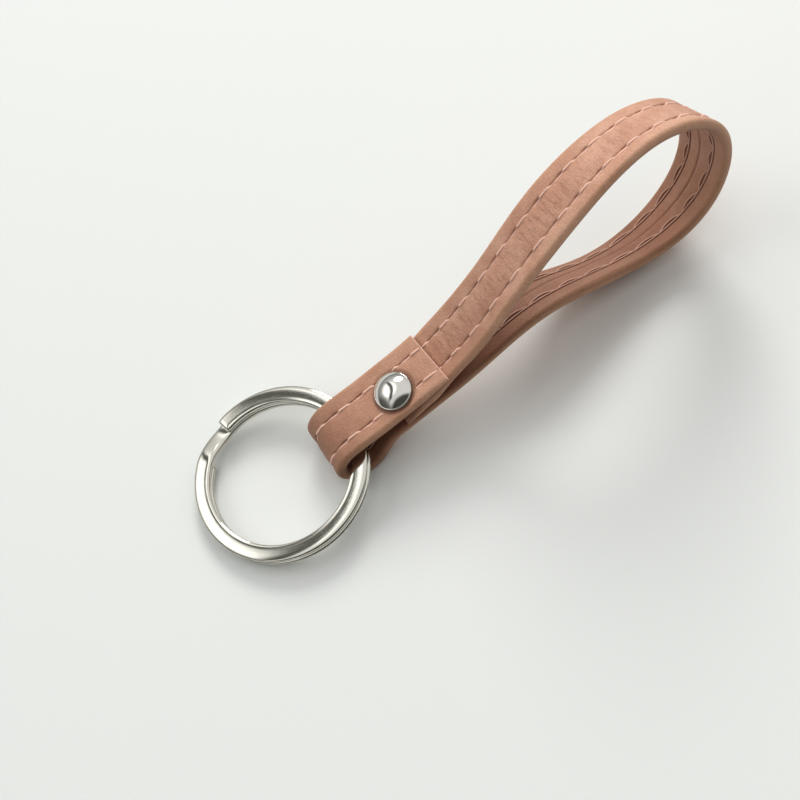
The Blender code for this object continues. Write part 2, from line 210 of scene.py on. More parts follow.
# The room: a dark beam lies on a cone about one direction, and ends toward the left
BEAM_CENTRE = (-0.671, 0.484, 0.561)
BEAM_COSINE = 0.859
BEAM_RIGHT = (0.832, -0.515, -0.203)
CEILING_PATCH = (-0.36, 0.44, 0.82)
WINDOW_PLACE = (0.43, 0.67, 0.55)
WINDOW_SIZE = 0.40
WINDOW_POWER = 5.0
FLOOR_SIZE = 6.0

HALF_WIDTH = STRAP_WIDTH / 2
HALF_THICKNESS = STRAP_THICKNESS / 2
STACK_TOP = LAYER_PITCH + HALF_THICKNESS
FOLD_RADIUS = CHANNEL_RADIUS + HALF_THICKNESS
FOLD_CENTRE = CHANNEL_RADIUS + STRAP_THICKNESS - FOLD_REACH
HINGE_X = FOLD_CENTRE + CHANNEL_FLAT / 2
ROW = HALF_WIDTH - STITCH_INSET
EDGE_FLAT = HALF_WIDTH - EDGE_RADIUS

HINGE = frame["joints"][0]["pos_m"]
RING_PLACE = Matrix.Translation(HINGE) @ Matrix.Rotation(-RING_TILT, 4, "Y")
STACK_PLACE = (
    Matrix.Translation(HINGE)
    @ Matrix.Rotation(-STACK_PITCH, 4, "Y")
    @ Matrix.Translation((-HINGE_X, 0, FOLD_DROP))
)


def linear(hex_colour):
    """An sRGB hex colour as the linear colour that a shader takes."""
    found = []
    for start in (1, 3, 5):
        value = int(hex_colour[start : start + 2], 16) / 255
        found.append(value / 12.92 if value <= 0.04045 else ((value + 0.055) / 1.055) ** 2.4)
    return (*found, 1.0)


def add_node(tree, kind, settings=(), links=()):
    """Adds a node with its settings, which name properties or sockets, and its links by socket."""
    node = tree.nodes.new(kind)
    for name, value in dict(settings).items():
        if isinstance(name, str) and hasattr(node, name):
            setattr(node, name, value)
        else:
            node.inputs[name].default_value = value
    for socket, source in dict(links).items():
        tree.links.new(source, node.inputs[socket])
    return node


def start_material(name, settings):
    """A material with a Principled shader set to the given values."""
    made = bpy.data.materials.new(name)
    made.use_nodes = True
    shader = made.node_tree.nodes["Principled BSDF"]
    for socket, value in settings.items():
        shader.inputs[socket].default_value = value
    return made, made.node_tree, shader


def turned_leather():
    """Soft coated leather, edges turned under: pebbled grain and cross creases; grooves darker, partly compressed
    leather and partly painted shade; painted shade between pebbles, in crease lines, over the fold and the inner
    face; painted light along the outer face and at the cut end.
    """
    made, tree, shader = start_material(
        "turned_pebbled_leather", {"IOR": 1.46, "Specular IOR Level": 0.35, "Sheen Weight": 0.03}
    )
    strip = add_node(tree, "ShaderNodeAttribute", {"attribute_name": "strip"})
    press_and_shade = add_node(tree, "ShaderNodeAttribute", {"attribute_name": "pressed_and_shaded"})
    raw_edge_and_highlight = add_node(tree, "ShaderNodeAttribute", {"attribute_name": "raw_edge_and_highlight"})
    worked = add_node(tree, "ShaderNodeAttribute", {"attribute_name": "creased"})
    inside = add_node(tree, "ShaderNodeAttribute", {"attribute_name": "inner"})
    painted_light_share = add_node(tree, "ShaderNodeAttribute", {"attribute_name": "stretched"})

    # Pebbles about 0.6 mm across, split by fine lines, in millimetres along and across the strip
    stray = add_node(
        tree,
        "ShaderNodeTexNoise",
        {"Scale": 1 / 0.9, "Detail": 2.0, "Roughness": 0.6},
        {"Vector": strip.outputs["Vector"]},
    )
    bent = add_node(
        tree,
        "ShaderNodeVectorMath",
        {"operation": "MULTIPLY_ADD", 1: (0.5, 0.5, 0.5)},
        {0: stray.outputs["Color"], 2: strip.outputs["Vector"]},
    )
    pebble = add_node(
        tree,
        "ShaderNodeTexVoronoi",
        {"feature": "DISTANCE_TO_EDGE", "Scale": 1 / 0.6, "Randomness": 1.0},
        {"Vector": bent.outputs[0]},
    )
    pebble_top = add_node(
        tree,
        "ShaderNodeMapRange",
        {"interpolation_type": "SMOOTHSTEP", "From Min": 0.0, "From Max": 0.22},
        {"Value": pebble.outputs["Distance"]},
    )
    fine = add_node(
        tree,
        "ShaderNodeTexNoise",
        {"Scale": 1 / 0.3, "Detail": 3.0, "Roughness": 0.6},
        {"Vector": strip.outputs["Vector"]},
    )
    # Creases about 0.8 mm apart that run across the strip
    stretched = add_node(
        tree,
        "ShaderNodeMapping",
        {"Scale": (1 / 0.8, 1 / 3.2, 1.0), "Rotation": (0.0, 0.0, 0.15)},
        {"Vector": bent.outputs[0]},
    )
    crease = add_node(
        tree,
        "ShaderNodeTexNoise",
        {"noise_type": "FBM", "Scale": 1.0, "Detail": 2.5, "Roughness": 0.6, "Distortion": 0.4},
        {"Vector": stretched.outputs["Vector"]},
    )
    line = add_node(
        tree,
        "ShaderNodeMapRange",
        {"interpolation_type": "SMOOTHSTEP", "From Min": 0.32, "From Max": 0.58},
        {"Value": crease.outputs[0]},
    )
    mottle = add_node(
        tree,
        "ShaderNodeTexNoise",
        {"Scale": 1 / 6.0, "Detail": 5.0, "Roughness": 0.62},
        {"Vector": strip.outputs["Vector"]},
    )
    broad = add_node(
        tree,
        "ShaderNodeMapRange",
        {"interpolation_type": "SMOOTHSTEP", "From Min": 0.36, "From Max": 0.64},
        {"Value": mottle.outputs[0]},
    )

    full = add_node(
        tree,
        "ShaderNodeMix",
        {"data_type": "RGBA", 6: linear("#B38268"), 7: linear("#BF9077")},
        {0: broad.outputs[0]},
    )
    # Painted light: a paler tone laid on through the stretched mark where the outer face catches the light
    painted_light_tone = add_node(
        tree,
        "ShaderNodeMix",
        {"data_type": "RGBA", 6: linear("#CE997F"), 7: linear("#DBAA90")},
        {0: broad.outputs[0]},
    )
    tone = add_node(
        tree,
        "ShaderNodeMix",
        {"data_type": "RGBA"},
        {0: painted_light_share.outputs["Fac"], 6: full.outputs[2], 7: painted_light_tone.outputs[2]},
    )
    # Painted shade: the gaps between pebbles are painted darker
    pebble_gap_shade = add_node(
        tree,
        "ShaderNodeMapRange",
        {"To Min": 0.20, "To Max": 0.0},
        {"Value": pebble_top.outputs[0]},
    )
    pebble_gap_shaded_tone = add_node(
        tree,
        "ShaderNodeMix",
        {"data_type": "RGBA", 7: linear("#94604A")},
        {0: pebble_gap_shade.outputs[0], 6: tone.outputs[2]},
    )
    # Painted shade: the crease lines are painted darker where the strip is creased
    crease_line_shade = add_node(
        tree,
        "ShaderNodeMapRange",
        {"To Min": 0.30, "To Max": 0.0},
        {"Value": line.outputs[0]},
    )
    worked_crease_shade = add_node(
        tree,
        "ShaderNodeMath",
        {"operation": "MULTIPLY"},
        {0: crease_line_shade.outputs[0], 1: worked.outputs["Fac"]},
    )
    crease_shaded_tone = add_node(
        tree,
        "ShaderNodeMix",
        {"data_type": "RGBA", 7: linear("#8C5844")},
        {0: worked_crease_shade.outputs[0], 6: pebble_gap_shaded_tone.outputs[2]},
    )
    # The turned edges are rubbed to a tan tone over their last millimetre
    width = add_node(tree, "ShaderNodeSeparateXYZ", (), {0: strip.outputs["Vector"]})
    from_middle = add_node(
        tree, "ShaderNodeMath", {"operation": "ABSOLUTE"}, {0: width.outputs["Y"]}
    )
    rubbed = add_node(
        tree,
        "ShaderNodeMapRange",
        {"interpolation_type": "SMOOTHSTEP", "From Min": 3.7, "From Max": 5.3, "To Max": 0.32},
        {"Value": from_middle.outputs[0]},
    )
    margin_tone = add_node(
        tree,
        "ShaderNodeMix",
        {"data_type": "RGBA", 7: linear("#B78D68")},
        {0: rubbed.outputs[0], 6: crease_shaded_tone.outputs[2]},
    )
    # Painted shade: multiplied darker where the inner mark is set, over the inner face and the fold
    painted_inner_shade = add_node(
        tree,
        "ShaderNodeMix",
        {"data_type": "RGBA", "blend_type": "MULTIPLY", 7: linear("#B9A99D")},
        {0: inside.outputs["Fac"], 6: margin_tone.outputs[2]},
    )
    # Darker where the mark is high: partly compressed, burnished leather, partly painted shade in needle holes,
    # thread grooves, chain links and round the rivet's cap
    burnished_and_shaded = add_node(
        tree,
        "ShaderNodeMix",
        {"data_type": "RGBA", 7: linear("#5E3226")},
        {0: press_and_shade.outputs["Fac"], 6: painted_inner_shade.outputs[2]},
    )
    # The cut end is painted pale: the raw edge's own lighter colour, and a painted highlight over the faces' first
    # fraction of a millimetre
    cut = add_node(
        tree,
        "ShaderNodeMix",
        {"data_type": "RGBA", 7: linear("#E6BBA6")},
        {0: raw_edge_and_highlight.outputs["Fac"], 6: burnished_and_shaded.outputs[2]},
    )
    tree.links.new(cut.outputs[2], shader.inputs["Base Color"])

    rough = add_node(
        tree,
        "ShaderNodeMapRange",
        {"From Min": 0.3, "From Max": 0.7, "To Min": 0.52, "To Max": 0.70},
        {"Value": fine.outputs[0]},
    )
    tree.links.new(rough.outputs[0], shader.inputs["Roughness"])

    pebbled = add_node(
        tree,
        "ShaderNodeBump",
        {"Strength": 0.40, "Distance": 0.00006},
        {"Height": pebble_top.outputs[0]},
    )
    fine_bump = add_node(
        tree,
        "ShaderNodeBump",
        {"Strength": 0.6, "Distance": 0.00006},
        {"Height": fine.outputs[0], "Normal": pebbled.outputs[0]},
    )
    depth = add_node(
        tree,
        "ShaderNodeMath",
        {"operation": "MULTIPLY"},
        {0: line.outputs[0], 1: worked.outputs["Fac"]},
    )
    creased = add_node(
        tree,
        "ShaderNodeBump",
        {"Strength": 0.75, "Distance": 0.00012},
        {"Height": depth.outputs[0], "Normal": fine_bump.outputs[0]},
    )
    tree.links.new(creased.outputs[0], shader.inputs["Normal"])
    return made


def twisted_thread(name, low, high):
    """Bonded polyester sewing thread, twisted from plies: paler than the leather, with a soft shine."""
    made, tree, shader = start_material(
        name, {"IOR": 1.5, "Sheen Weight": 0.15, "Sheen Roughness": 0.35}
    )
    strip = add_node(tree, "ShaderNodeAttribute", {"attribute_name": "strip"})
    # Filaments about 0.1 mm apart
    fibre = add_node(
        tree,
        "ShaderNodeTexNoise",
        {"Scale": 1 / 0.12, "Detail": 2.0},
        {"Vector": strip.outputs["Vector"]},
    )
    tone = add_node(
        tree,
        "ShaderNodeMix",
        {"data_type": "RGBA", 6: linear(low), 7: linear(high)},
        {0: fibre.outputs[0]},
    )
    tree.links.new(tone.outputs[2], shader.inputs["Base Color"])
    rough = add_node(
        tree,
        "ShaderNodeMapRange",
        {"To Min": 0.42, "To Max": 0.62},
        {"Value": fibre.outputs[0]},
    )
    tree.links.new(rough.outputs[0], shader.inputs["Roughness"])
    bump = add_node(
        tree,
        "ShaderNodeBump",
        {"Strength": 0.4, "Distance": 0.00004},
        {"Height": fibre.outputs[0]},
    )
    tree.links.new(bump.outputs[0], shader.inputs["Normal"])
    return made


def plated_steel(name, colour, wear_and_painted_shade, streak_run, streak_gap, streak_bump, roughness):
    """Nickel plate over drawn or pressed steel: a mirror with fine drawn lines and handling marks, and on the caps
    painted shade and reflection at the rim.
    """
    made, tree, shader = start_material(name, {"Metallic": 1.0})
    strip = add_node(tree, "ShaderNodeAttribute", {"attribute_name": "strip"})
    rim_shade_mask = add_node(tree, "ShaderNodeAttribute", {"attribute_name": "painted_rim_shade"})
    drawn = add_node(
        tree,
        "ShaderNodeMapping",
        {"Scale": (1 / streak_run, 1 / streak_gap, 1 / streak_gap)},
        {"Vector": strip.outputs["Vector"]},
    )
    streaks = add_node(
        tree,
        "ShaderNodeTexNoise",
        {"Scale": 1.0, "Detail": 3.0, "Roughness": 0.6},
        {"Vector": drawn.outputs["Vector"]},
    )
    marks = add_node(
        tree,
        "ShaderNodeTexNoise",
        {"Scale": 1 / 2.5, "Detail": 5.0, "Roughness": 0.65},
        {"Vector": strip.outputs["Vector"]},
    )
    tone = add_node(
        tree,
        "ShaderNodeMix",
        {"data_type": "RGBA", 6: linear(wear_and_painted_shade), 7: linear(colour)},
        {0: marks.outputs[0]},
    )
    # Painted shade: a cap's rim is painted dark, standing in for the dark reflection and shade at its edge
    painted_rim_shade = add_node(
        tree,
        "ShaderNodeMix",
        {"data_type": "RGBA", 7: linear("#6B665C")},
        {0: rim_shade_mask.outputs["Fac"], 6: tone.outputs[2]},
    )
    tree.links.new(painted_rim_shade.outputs[2], shader.inputs["Base Color"])
    mixed = add_node(
        tree,
        "ShaderNodeMath",
        {"operation": "MULTIPLY"},
        {0: streaks.outputs[0], 1: marks.outputs[0]},
    )
    rough = add_node(
        tree,
        "ShaderNodeMapRange",
        {"From Min": 0.1, "From Max": 0.45, "To Min": roughness[0], "To Max": roughness[1]},
        {"Value": mixed.outputs[0]},
    )
    tree.links.new(rough.outputs[0], shader.inputs["Roughness"])
    bump = add_node(
        tree,
        "ShaderNodeBump",
        {"Strength": streak_bump, "Distance": 0.00003},
        {"Height": streaks.outputs[0]},
    )
    tree.links.new(bump.outputs[0], shader.inputs["Normal"])
    return made


def smooth_step(share):
    share = np.clip(share, 0, 1)
    return share * share * (3 - 2 * share)


def curve_through(knots, start_slope, end_slope, steps):
    """Points on the cubic through knots with given end directions, even in chord length."""
    knots = np.array(knots)
    chords = np.linalg.norm(np.diff(knots[:, :2], axis=0), axis=1)
    at = np.concatenate([[0], np.cumsum(chords)])
    count = len(knots)
    left = np.zeros((count, count))
    right = np.zeros_like(knots)
    left[0, 0] = left[-1, -1] = 1
    right[0], right[-1] = start_slope, end_slope
    for i in range(1, count - 1):
        before, after = chords[i - 1], chords[i]
        left[i, i - 1 : i + 2] = after, 2 * (before + after), before
        right[i] = 3 * (
            before * (knots[i + 1] - knots[i]) / after
            + after * (knots[i] - knots[i - 1]) / before
        )
    slopes = np.linalg.solve(left, right)
    found = []
    for place in np.linspace(0, at[-1], steps + 1):
        i = min(np.searchsorted(at, place, side="right") - 1, count - 2)
        u = (place - at[i]) / chords[i]
        found.append(
            (1 + 2 * u) * (1 - u) ** 2 * knots[i]
            + u * (1 - u) ** 2 * chords[i] * slopes[i]
            + u * u * (3 - 2 * u) * knots[i + 1]
            + u * u * (u - 1) * chords[i] * slopes[i + 1]
        )
    return found


def flare(steps):
    """Centre line of the top layer, from the pinched stack to the fold."""
    end = FOLD_CENTRE + CHANNEL_FLAT
    rise = FOLD_RADIUS - FOLD_DROP - LAYER_PITCH
    found = []
    for share in np.linspace(0, 1, steps + 1):
        height = LAYER_PITCH + rise * smooth_step(share)
        found.append((-PINCH_REACH + (end + PINCH_REACH) * share, height, 0, 0))
    return found


def fold(steps):
    """Centre line round the ring, from its top to where the bottom layer leaves it."""
    found = []
    for angle in np.linspace(math.pi / 2, 3 * math.pi / 2, steps + 1):
        x = FOLD_CENTRE + FOLD_RADIUS * math.cos(angle)
        found.append((x, FOLD_RADIUS * math.sin(angle) - FOLD_DROP, 0, 0))
    for angle in np.linspace(0, FOLD_LEAVE, steps // 6):
        x = HINGE_X + FOLD_RADIUS * math.sin(angle)
        found.append((x, -FOLD_RADIUS * math.cos(angle) - FOLD_DROP, 0, 0))
    return found


def closing(steps):
    """Centre line of the bottom layer, straight off the fold and level under the rivet."""
    start = np.array(fold(FOLD_STEPS)[-1])
    end = np.array((-PINCH_REACH, -LAYER_PITCH, 0, 0))
    reach = np.linalg.norm(end - start)
    off = reach * np.array((math.cos(FOLD_LEAVE), math.sin(FOLD_LEAVE), 0, 0))
    level = reach * np.array((1, 0, 0, 0))
    found = []
    for u in np.linspace(0, 1, steps + 1)[1:]:
        bend = u * (1 - u) ** 2 * off - u * u * (1 - u) * level
        found.append(tuple(start + (end - start) * smooth_step(u) + bend))
    return found


def loop(steps):
    """Centre line of the open loop, with its drift and lean."""
    knots = [(STACK_REACH, -LAYER_PITCH, 0, 0)]
    for reach, height, drift, lean in LOOP_SHARES:
        x = STACK_REACH + reach * LOOP_REACH
        knots.append((x, height * LOOP_HEIGHT, drift * LOOP_DRIFT, lean * LOOP_LEAN))
    knots.append((PINCH_REACH, 0, 0, 0))
    return curve_through(knots, (1, 0, 0, 0), (-1, 0, 0, 0), steps)


class Strip:
    """The strap's centre line from its cut end, with its width and outward directions."""

    def __init__(self):
        path = [(FLAP_REACH, LAYER_PITCH, 0, 0)]
        path += flare(FLARE_STEPS) + fold(FOLD_STEPS) + closing(FLARE_STEPS) + loop(LOOP_STEPS)
        path.append((-TAIL_REACH, 0, 0, 0))
        path = np.array(path)
        centres = path[:, [0, 2, 1]]
        run = np.linalg.norm(np.diff(centres, axis=0), axis=1)
        self.at = np.concatenate([[0], np.cumsum(run)])
        self.length = self.at[-1]
        self.centres = centres
        self.lean = path[:, 3]

    def _centre(self, along):
        return np.stack([np.interp(along, self.at, self.centres[:, k]) for k in range(3)], -1)

    def frames(self, along):
        """Centre, ahead, across and outward at each distance along the strip."""
        before = np.clip(along - FRAME_STEP, 0, self.length)
        after = np.clip(along + FRAME_STEP, 0, self.length)
        ahead = self._centre(after) - self._centre(before)
        ahead /= np.linalg.norm(ahead, axis=-1, keepdims=True)
        across = np.array((0.0, 1.0, 0.0)) - ahead * ahead[..., [1]]
        across /= np.linalg.norm(across, axis=-1, keepdims=True)
        outward = np.cross(across, ahead)
        lean = np.interp(along, self.at, self.lean)[..., None]
        cos, sin = np.cos(lean), np.sin(lean)
        across, outward = cos * across - sin * outward, cos * outward + sin * across
        return self._centre(along), ahead, across, outward

    def place(self, along, side, height):
        """Points at a distance along, a width offset and an outward offset from the centre line."""
        centre, ahead, across, outward = self.frames(along)
        thin = (1 - FLAP_END_THICKNESS / STRAP_THICKNESS) * np.clip(
            1 - along / (FLAP_REACH - PINCH_REACH), 0, 1
        )
        height = height + (HALF_THICKNESS - height) * thin
        skived = TAIL_SKIVED_SHARE * np.clip(1 - (self.length - along) / TAIL_SKIVE, 0, 1)
        height = height - (HALF_THICKNESS + TAIL_DROP + height) * skived
        skew = math.tan(FLAP_SKEW) * np.clip(1 - along / SKEW_FADE, 0, 1)
        point = centre + side[..., None] * across + height[..., None] * outward
        return point + (side * skew)[..., None] * ahead


def rivet_press(points):
    """How far the rivet's caps press the leather in at these points of the stack, from 0 to 1."""
    away = np.hypot(points[..., 0], points[..., 1] - RIVET_Y)
    near = 1 - smooth_step((away - CAP_RADIUS - RIVET_PRESS_START) / RIVET_PRESS_SPREAD)
    return near * (np.abs(points[..., 2]) > LAYER_PITCH)


def stitch_phase(along, counts):
    """Place within a stitch, from 0 at one needle hole to 1 at the next."""
    at, count = np.array(counts).T
    return np.interp(along / MM, at, count) % 1


def wander(along, table):
    """How far a sewn row or a seam strays from its line at a distance along the strip."""
    at, stray = np.array(table).T
    return np.interp(along / MM, at, stray) * MM


def thread_rise(phase):
    """Share of a stitch's height: out of its hole, along the face, and under it before the next hole."""
    rising = 0.15 * smooth_step((phase - 0.08) / 0.10) + 0.85 * smooth_step((phase - 0.36) / 0.20)
    return rising * (1 - smooth_step((phase - 0.82) / 0.12))


def outer_relief(along, side):
    """Height and darkening of the outer face: soft bands, puckers, narrow rows and needle holes; the darkening is
    compressed leather and painted shade in the grooves and holes.
    """
    off_band = np.abs(side - wander(along, ROW_WANDER)) / ROW
    height = OUTER_CROWN * np.abs(np.cos(math.pi / 2 * off_band)) ** 0.8
    press_and_shade = np.zeros_like(side)
    for row, counts in ((ROW, FAR_COUNT), (-ROW, NEAR_COUNT)):
        phase = stitch_phase(along, counts)
        from_hole = (phase + 0.5) % 1 - 0.5
        off = side - row - wander(along, ROW_WANDER)
        groove = np.exp(-((off / GROOVE_SPREAD) ** 2))
        dip = np.exp(-((off / PUCKER_SPREAD) ** 2))
        sunk = 1 - thread_rise(phase)
        run = from_hole / HOLE_RUN_SHARE
        hole = np.exp(-((off / HOLE_SPREAD) ** 2) - run * run)
        height -= groove * GROOVE_DEPTH * (1 + 0.3 * sunk) + HOLE_DEPTH * hole
        height -= dip * PUCKER_DEPTH * (1 + 0.8 * np.cos(2 * math.pi * (phase - 0.05)))
        press_and_shade += groove * (0.10 + 0.40 * sunk) + 0.9 * hole
    return height, press_and_shade


def inner_relief(along, side):
    """Height and darkening of the inner face: the meeting line of the turned edges and the chain's rows; the
    darkening is the seam's dark joint and painted shade under and inside the chain's links.
    """
    height = INNER_CROWN * np.cos(math.pi * side / ROW)
    press_and_shade = np.zeros_like(side)
    line = side - wander(along, SEAM_WANDER)
    seam = np.exp(-((line / SEAM_SPREAD) ** 2))
    height -= SEAM_DEPTH * seam + SEAM_HOLLOW_DEPTH * np.exp(-((line / SEAM_HOLLOW_SPREAD) ** 2))
    press_and_shade += 0.75 * seam
    for row, counts in ((ROW, FAR_COUNT), (-ROW, NEAR_COUNT)):
        off = side - row - wander(along, ROW_WANDER)
        bow = link_bow(stitch_phase(along, counts))
        under = np.exp(-(((off + CHAIN_EDGE_OFFSET) / CHAIN_EDGE_SPREAD) ** 2))
        inside = np.exp(-(((off - 0.5 * bow) / (CHAIN_DENT_SPREAD + 0.35 * bow)) ** 2))
        height -= CHAIN_EDGE_DEPTH * under + CHAIN_DENT_DEPTH * inside
        press_and_shade += 0.35 * under + 0.50 * inside * (bow > CHAIN_OPEN)
    return height, press_and_shade


def link_bow(phase):
    """How far a chain link's curved strand stands off its straight one."""
    return CHAIN_BOW * np.sin(math.pi * np.clip((phase - 0.03) / 0.9, 0, 1)) ** 0.8


def edge_corner(side, face, steps):
    """Rounded corner of the strap's section, from its edge to its face."""
    angle = np.linspace(0, math.pi / 2, steps + 1)
    width = HALF_WIDTH - EDGE_RADIUS * (1 - np.cos(angle))
    height = HALF_THICKNESS - EDGE_RADIUS * (1 - np.sin(angle))
    return np.stack([side * width, face * height], -1)


def face_columns():
    """Width offsets of a face's points: close together along the sewn rows and the seam."""
    found, at = [], -EDGE_FLAT
    while at < EDGE_FLAT - LAST_COLUMN_GAP:
        found.append(at)
        near_row = abs(abs(at) - ROW) < ROW_COLUMN_REACH
        at += ROW_COLUMN_STEP if near_row else COLUMN_STEP
    return np.array(found[1:])


def strap_section(corner_steps):
    """Closed section of the strap, as width and outward offsets."""
    flat = face_columns()
    top = np.stack([flat, np.full_like(flat, HALF_THICKNESS)], -1)
    low = np.stack([flat[::-1], np.full_like(flat, -HALF_THICKNESS)], -1)
    return np.concatenate(
        [
            edge_corner(-1, 1, corner_steps),
            top,
            edge_corner(1, 1, corner_steps)[::-1],
            edge_corner(1, -1, corner_steps),
            low,
            edge_corner(-1, -1, corner_steps)[::-1],
        ]
    )


def mesh_object(name, points, faces, place, finish, marks):
    """A mesh placed in the frame, smooth, with values kept on its points for its material."""
    mesh = bpy.data.meshes.new(name)
    moved = np.array(points) @ np.array(place.to_3x3()).T + np.array(place.translation)
    mesh.from_pydata(moved.tolist(), [], faces)
    for mark, values in marks.items():
        values = np.array(values, dtype=np.float32)
        kind, field = ("FLOAT_VECTOR", "vector") if values.ndim == 2 else ("FLOAT", "value")
        mesh.attributes.new(mark, kind, "POINT").data.foreach_set(field, values.ravel())
    shape = bmesh.new()
    shape.from_mesh(mesh)
    bmesh.ops.recalc_face_normals(shape, faces=shape.faces)
    shape.to_mesh(mesh)
    shape.free()
    mesh.shade_smooth()
    mesh.materials.append(finish)
    obj = bpy.data.objects.new(name, mesh)
    bpy.context.collection.objects.link(obj)
    return obj


def grid_faces(rings, around):
    """Faces of a closed sweep of rings with flat ends."""
    faces = []
    for start in range(0, (rings - 1) * around, around):
        for i in range(around):
            j = (i + 1) % around
            faces.append((start + i, start + j, start + around + j, start + around + i))
    last = (rings - 1) * around
    faces.append(tuple(range(around)))
    faces.append(tuple(range(last, last + around))[::-1])
    return faces


def make_strap(strip, leather):
    """The whole strip of leather, with its relief in the mesh."""
    rings = round(strip.length / STRAP_STEP) + 1
    along = np.linspace(0, strip.length, rings)
    section = strap_section(6)
    around = len(section)
    runs = np.repeat(along[:, None], around, axis=1)
    side = np.repeat(section[None, :, 0], rings, axis=0)
    base = np.repeat(section[None, :, 1], rings, axis=0)
    facing = np.clip(base / (HALF_THICKNESS - FACE_START), -1, 1)
    outer_height, outer_press = outer_relief(runs, side)
    inner_height, inner_press = inner_relief(runs, side)
    on_outer = np.clip(facing, 0, 1) ** 4
    on_inner = np.clip(-facing, 0, 1) ** 4
    flat_points = strip.place(runs, side, base)
    dip = rivet_press(flat_points)
    relief = on_outer * (outer_height * (1 - dip) - RIVET_PRESS * dip)
    relief -= on_inner * inner_height
    points = strip.place(runs, side, base + relief)
    # The darkening mark: compressed leather, with painted shade in holes, grooves and chain links, and round the
    # rivet's cap
    press_and_shade = np.clip(on_outer * outer_press * (1 - dip) + on_inner * inner_press, 0, 1)
    press_and_shade = np.clip(press_and_shade + 0.45 * dip * on_outer, 0, 1)
    # Pale cut end: raw edge colour on the end face and a painted highlight over the faces' first fraction of a
    # millimetre
    raw_edge_and_highlight = np.clip(1 - runs / RAW_EDGE_HIGHLIGHT_REACH, 0, 1)
    strip_mark = np.stack([runs, side, np.sign(base) * 20 * MM], -1) / MM
    worked = np.interp(runs / MM, *np.array(CREASE_RUN).T) * np.exp(-((side / (0.9 * ROW)) ** 4))
    # Painted shade: the inner face, and the fold's outer face and edges, painted darker through the inner mark
    wear_and_painted_shade = np.interp(runs / MM, *np.array(INNER_PAINTED_SHADE).T) * np.clip(-facing, 0, 1)
    wear_and_painted_shade += np.interp(runs / MM, *np.array(FOLD_PAINTED_SHADE).T) * np.clip(facing + 0.6, 0, 1)
    strap = mesh_object(
        "strap_leather",
        points.reshape(-1, 3),
        grid_faces(rings, around),
        STACK_PLACE,
        leather,
        {
            "strip": strip_mark.reshape(-1, 3),
            "pressed_and_shaded": press_and_shade.ravel(),
            "raw_edge_and_highlight": raw_edge_and_highlight.ravel(),
            "creased": worked.ravel(),
            "inner": wear_and_painted_shade.ravel(),
            # The stretched mark is painted light: a paler tone on the outer face and edges
            "stretched": (np.interp(runs / MM, *np.array(PAINTED_LIGHT_RUN).T) * (facing > -0.5)).ravel(),
        },
    )
    return strap


def tube(points, side_ways, up_ways, radius, sides, lobes=0, twist=0.0, runs=None):
    """Points of rings round a path, with plies twisted round it where lobes are asked for."""
    angle = 2 * math.pi * np.arange(sides) / sides
    turn = np.zeros(len(points)) if runs is None or not twist else 2 * math.pi * runs / twist
    swell = 1 + (PLY_DEPTH_SHARE * np.cos(lobes * (angle[None, :] - turn[:, None])) if lobes else 0)
    reach = radius * swell * np.ones((len(points), sides))
    out = np.cos(angle)[None, :, None] * side_ways[:, None, :]
    out = out + np.sin(angle)[None, :, None] * up_ways[:, None, :]
    return points[:, None, :] + reach[..., None] * out


def make_needle_row(strip, name, row, counts, thread):
    """The outer face's stitches: one thread that dives at each needle hole."""
    count = round(strip.length / THREAD_STEP)
    runs = np.linspace(NEEDLE_END, strip.length - NEEDLE_END, count)
    rise = thread_rise(stitch_phase(runs, counts))
    offsets = row + wander(runs, ROW_WANDER)
    centre = strip.place(runs, offsets, np.full_like(runs, HALF_THICKNESS))
    dip = rivet_press(centre)
    height = HALF_THICKNESS - NEEDLE_SUNK + rise * NEEDLE_LIFT * (1 - dip)
    path = strip.place(runs, offsets, height)
    _, _, across, outward = strip.frames(runs)
    rings = tube(path, across, outward, NEEDLE_THREAD / 2, 12, 3, PLY_TWIST, runs)
    mark = np.stack([runs, offsets, np.zeros_like(runs)], -1) / MM
    mark = np.repeat(mark[:, None, :], 12, axis=1)
    mark[..., 1] += np.arange(12) * 0.11
    return mesh_object(
        name,
        rings.reshape(-1, 3),
        grid_faces(len(runs), 12),
        STACK_PLACE,
        thread,
        {"strip": mark.reshape(-1, 3)},
    )


def make_chain_row(strip, name, row, counts, thread):
    """The inner face's chain stitch: links with one straight and one bowed strand, end in end."""
    at, count = np.array(counts).T
    points, faces, marks = [], [], []
    sides = 8
    for link in range(math.ceil(count[0]), math.floor(count[-1]) - 1):
        for bowed in (0, 1):
            share = np.linspace(*CHAIN_LINK_SHARES, LINK_STEPS + 1)
            runs = np.interp(link + share, count, at) * MM
            runs = np.clip(runs, CHAIN_END, strip.length - CHAIN_END)
            lift = smooth_step((share + 0.05) / 0.10) * (1 - smooth_step((share - 0.95) / 0.09))
            rise = (CHAIN_LIFT + bowed * CHAIN_BOW_LIFT) * lift
            height = -(HALF_THICKNESS - CHAIN_SUNK + rise)
            offsets = row + wander(runs, ROW_WANDER) + bowed * link_bow(share)
            path = strip.place(runs, offsets, height)
            _, _, across, outward = strip.frames(runs)
            rings = tube(path, across, outward, CHAIN_THREAD / 2, sides, 3, PLY_TWIST, runs)
            base = sum(len(part) for part in points)
            points.append(rings.reshape(-1, 3))
            for face in grid_faces(LINK_STEPS + 1, sides):
                faces.append(tuple(base + i for i in face))
            mark = np.stack([runs, offsets, np.zeros_like(runs)], -1) / MM
            mark = np.repeat(mark[:, None, :], sides, axis=1)
            mark[..., 1] += np.arange(sides) * 0.12
            marks.append(mark.reshape(-1, 3))
    return mesh_object(
        name,
        np.concatenate(points),
        faces,
        STACK_PLACE,
        thread,
        {"strip": np.concatenate(marks)},
    )


